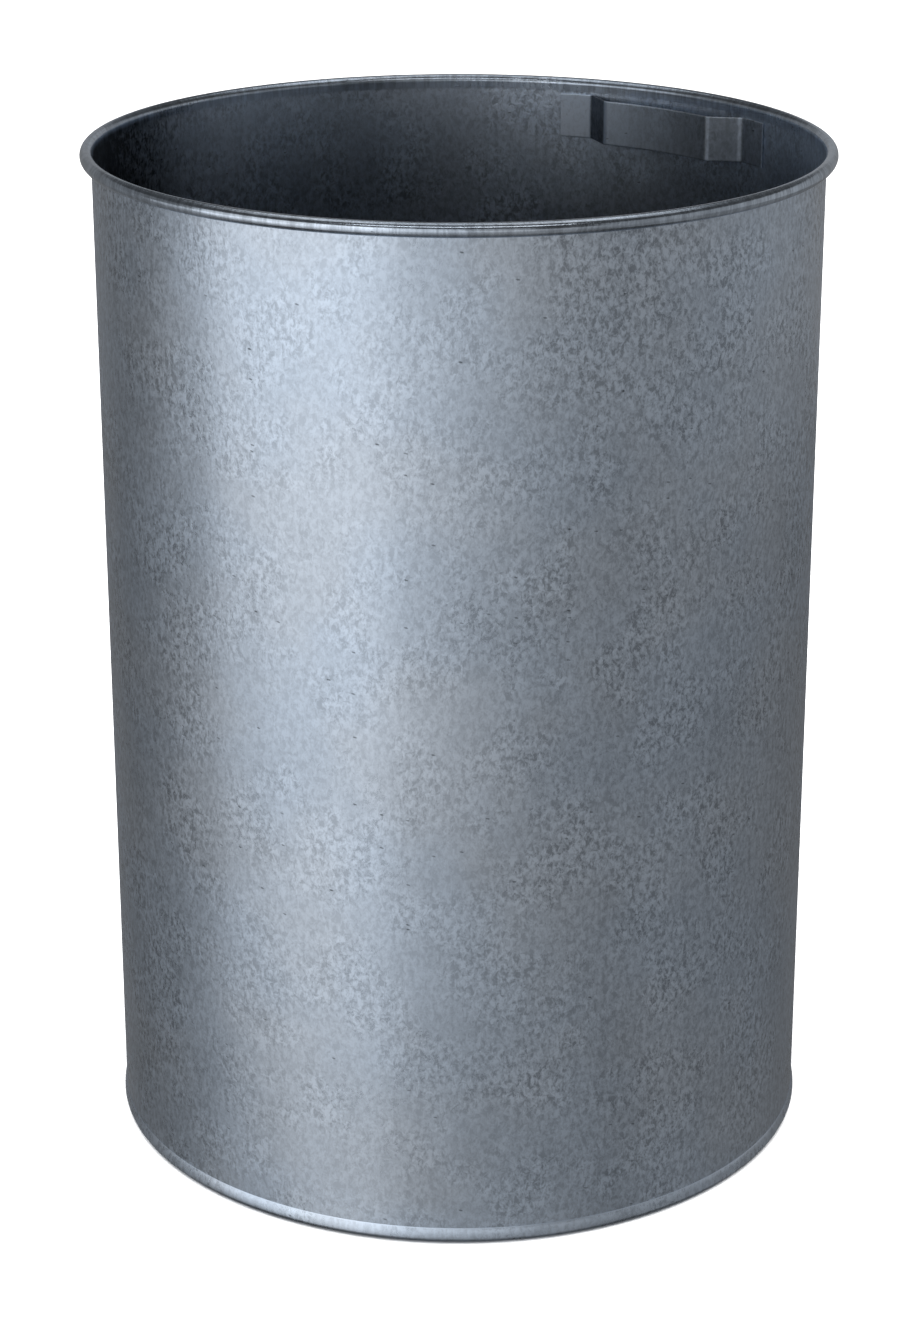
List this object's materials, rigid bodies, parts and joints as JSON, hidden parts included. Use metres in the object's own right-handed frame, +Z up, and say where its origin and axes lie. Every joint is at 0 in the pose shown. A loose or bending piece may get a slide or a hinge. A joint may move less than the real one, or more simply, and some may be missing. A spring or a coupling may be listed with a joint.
{
  "type": "oily waste can",
  "caption": "Open-topped cylindrical sheet-steel can with a wired rim, a crimped base and a bent strip standing off the wall inside the top.",
  "frame": {"origin": "centre of the ring on the underside that the can stands on", "axes": "+Z up along the can's axis, +Y towards the strip inside the top, +X to the right when looking along +Y"},
  "size_m": [0.3918, 0.3918, 0.541],
  "materials": {
    "wall_zinc": "hot-dip galvanised, mottled satin",
    "base_zinc": "hot-dip galvanised, mottled satin",
    "bracket_zinc": "galvanised strip, satin",
    "wire_steel": "drawn wire, dull"
  },
  "bodies": {
    "root": {"side_wall": "wall_zinc", "rim_wire": "wire_steel", "base_pan": "base_zinc", "inner_bracket": "bracket_zinc"}
  },
  "joints": []
}
